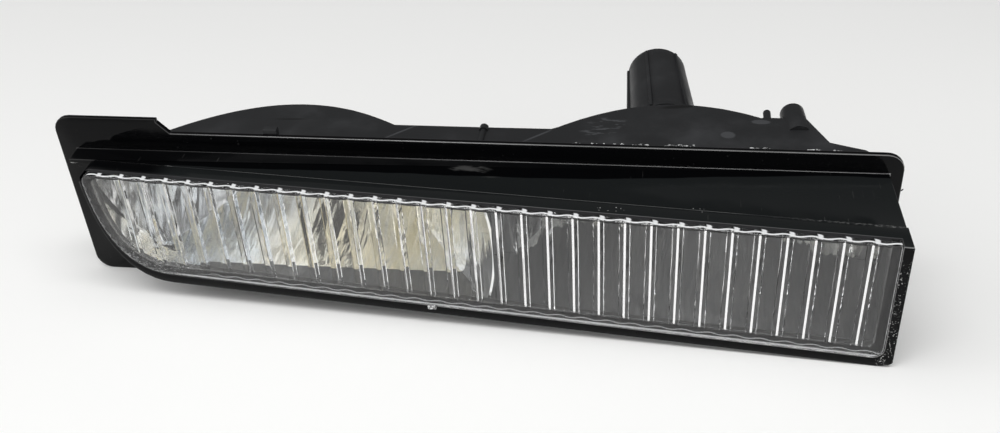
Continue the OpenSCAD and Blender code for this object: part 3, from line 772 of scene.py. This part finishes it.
class LAMP_OT_marks(LampOperator):
    """Adds the glue beads, the moulding tab and the loose strand"""

    bl_idname = "lamp.marks"
    bl_label = "Marks"

    def execute(self, context):
        glue = dried_glue()
        self.beads(glue)
        self.tab(glue)
        self.strand()
        return {"FINISHED"}

    def beads(self, glue):
        """Small beads of glue behind the top edge of the flange."""
        flange_back, flange_top = 0.0024, 0.0371
        chance = random.Random(4)
        pieces = []
        for start, end, count, spread in BEAD_ROWS:
            for _ in range(count):
                size = self.look.bead_size * chance.uniform(0.35, 1.0)
                place = (
                    chance.uniform(start, end), flange_back + chance.uniform(-0.3, 1.0) * spread,
                    flange_top - chance.uniform(0.0, 1.0) * spread,
                )
                bpy.ops.mesh.primitive_ico_sphere_add(subdivisions=2, radius=size, location=place)
                piece = bpy.context.object
                piece.scale = (chance.uniform(0.8, 2.2), 0.8, 0.7)
                pieces.append(piece)
        for piece in pieces:
            piece.select_set(True)
        bpy.ops.object.join()
        piece = bpy.context.object
        piece.name = "glue_beads"
        applied()
        shaded(piece, 70.0)
        handed(piece, "sealant", glue)

    def tab(self, glue):
        """The clear tab left below the lens where it was filled."""
        bpy.ops.mesh.primitive_cube_add(size=1.0, location=(-0.0103, -0.0331, -0.0229))
        piece = bpy.context.object
        piece.name = "moulding_tab"
        piece.scale = (0.0036, 0.0012, 0.0018)
        piece.rotation_euler = (0.0, 0.0, -LENS_YAW)
        applied()
        modified(piece, "BEVEL", width=0.0003, segments=2)
        shaded(piece)
        handed(piece, "lens_clear", glue)

    def strand(self):
        """A loose strand that sticks out at the right end of the flange."""
        bpy.ops.mesh.primitive_circle_add(
            vertices=8, radius=0.0003, fill_type="NGON", location=(0.173, 0.0015, 0.0195),
            rotation=(0.0, math.pi / 2, 0.0),
        )
        piece = bpy.context.object
        piece.name = "loose_strand"
        applied()
        bpy.ops.object.mode_set(mode="EDIT")
        bpy.ops.mesh.select_all(action="SELECT")
        for step in ((0.0014, 0.0002, -0.0002), (0.0010, 0.0002, 0.0002), (0.0008, 0.0001, 0.0006)):
            bpy.ops.mesh.extrude_region_move(TRANSFORM_OT_translate={"value": step})
        bpy.ops.mesh.select_all(action="SELECT")
        bpy.ops.mesh.normals_make_consistent(inside=False)
        bpy.ops.object.mode_set(mode="OBJECT")
        shaded(piece, 50.0)
        handed(piece, "seal_black", dull_rubber("dark_strand", (0.006, 0.006, 0.006)))


class LAMP_OT_stage(LampOperator):
    """Sets the floor, the light and the camera"""

    bl_idname = "lamp.stage"
    bl_label = "Stage"

    def execute(self, context):
        setting = context.scene.lamp_stage
        self.floor(setting)
        self.lamps(setting)
        self.camera(setting)
        context.scene.view_settings.view_transform = "Standard"
        context.scene.cycles.max_bounces = setting.bounces
        context.scene.cycles.glossy_bounces = setting.bounces
        context.scene.cycles.transmission_bounces = setting.bounces
        return {"FINISHED"}

    def floor(self, setting):
        """A plane on which the lamp lies tipped forward, on its flange and its front corner."""
        places = [v.co for v in frame["nodes"]["front_bezel"].data.vertices]
        low = min(p.z for p in places)
        tip = min((p.z - low) / -p.y for p in places if p.y < -0.02)
        bpy.ops.mesh.primitive_plane_add(size=setting.floor_size, location=(0.0, 0.0, 0.0))
        floor = bpy.context.object
        floor.name = "floor"
        floor.rotation_euler = (-math.atan(tip), 0.0, 0.0)
        floor.location = (0.0, 0.0, low)
        p = Paint("studio_floor", Roughness=0.6, Specular_IOR_Level=0.2)
        pale = setting.floor_colour
        p.set(Base_Color=p.blend(p.noise(1.5, 2.0), [0.98 * c for c in pale], pale))
        floor.data.materials.append(p.material)

    def lamps(self, setting):
        """A sky that is bright in front and above, a window lamp and a strip lamp."""
        world = bpy.data.worlds.new("studio")
        bpy.context.scene.world = world
        world.use_nodes = True
        tree = world.node_tree
        sky = tree.nodes["Background"]
        sky.inputs["Color"].default_value = (1.0, 1.0, 1.0, 1.0)
        way = tree.nodes.new("ShaderNodeTexCoord")
        side = tree.nodes.new("ShaderNodeVectorMath")
        side.operation = "DOT_PRODUCT"
        side.inputs[1].default_value = (-0.3, -0.7, 0.65)
        rise = tree.nodes.new("ShaderNodeMapRange")
        rise.interpolation_type = "SMOOTHSTEP"
        rise.inputs["From Min"].default_value = -0.1
        rise.inputs["From Max"].default_value = 0.8
        rise.inputs["To Min"].default_value = 0.5 * setting.sky
        rise.inputs["To Max"].default_value = 3.4 * setting.sky
        tree.links.new(way.outputs["Generated"], side.inputs[0])
        tree.links.new(side.outputs["Value"], rise.inputs["Value"])
        tree.links.new(rise.outputs[0], sky.inputs["Strength"])
        for name, place, width, depth, power in (
            ("window", (-1.4, -0.1, 0.6), 1.0, 1.0, 4.2),
            ("strip", (0.1, -0.35, 1.2), 1.4, 0.3, 8.5),
        ):
            data = bpy.data.lights.new(name, "AREA")
            data.shape = "RECTANGLE"
            data.size = width
            data.size_y = depth
            data.energy = power
            lamp = bpy.data.objects.new(name, data)
            bpy.context.scene.collection.objects.link(lamp)
            lamp.location = place
            lamp.rotation_euler = (-Vector(place)).to_track_quat("-Z", "Y").to_euler()

    def camera(self, setting):
        """The camera at the photograph's place."""
        data = bpy.data.cameras.new("camera")
        data.lens = setting.camera_lens
        data.sensor_width = 36.0
        data.clip_start = 0.01
        camera = bpy.data.objects.new("camera", data)
        bpy.context.scene.collection.objects.link(camera)
        right = (0.9891, 0.137, -0.0538)
        up = (-0.0382, 0.5921, 0.805)
        back = (0.1422, -0.7942, 0.5909)
        turn = Matrix((right, up, back)).transposed()
        camera.matrix_world = Matrix.Translation(setting.camera_place) @ turn.to_4x4()
        bpy.context.scene.camera = camera


class LAMP_PT_panel(bpy.types.Panel):
    bl_idname = "LAMP_PT_panel"
    bl_label = "Bumper Lamp"
    bl_space_type = "VIEW_3D"
    bl_region_type = "UI"
    bl_category = "Bumper Lamp"

    def draw(self, context):
        for group in (context.scene.lamp_looks, context.scene.lamp_stage):
            for key in group.__annotations__:
                self.layout.prop(group, key)
        for step in STEPS:
            self.layout.operator(step.bl_idname)


STEPS = (LAMP_OT_bezel, LAMP_OT_housing, LAMP_OT_lens, LAMP_OT_inside, LAMP_OT_marks, LAMP_OT_stage)
CLASSES = (LampLooks, LampStage, *STEPS, LAMP_PT_panel)


def register():
    for made in CLASSES:
        bpy.utils.register_class(made)
    bpy.types.Scene.lamp_looks = bpy.props.PointerProperty(type=LampLooks)
    bpy.types.Scene.lamp_stage = bpy.props.PointerProperty(type=LampStage)


def unregister():
    del bpy.types.Scene.lamp_looks
    del bpy.types.Scene.lamp_stage
    for made in reversed(CLASSES):
        bpy.utils.unregister_class(made)


def main():
    register()
    bpy.ops.lamp.bezel()
    bpy.ops.lamp.housing()
    bpy.ops.lamp.lens()
    bpy.ops.lamp.inside()
    bpy.ops.lamp.marks()
    bpy.ops.lamp.stage()


if __name__ == "__main__":
    main()
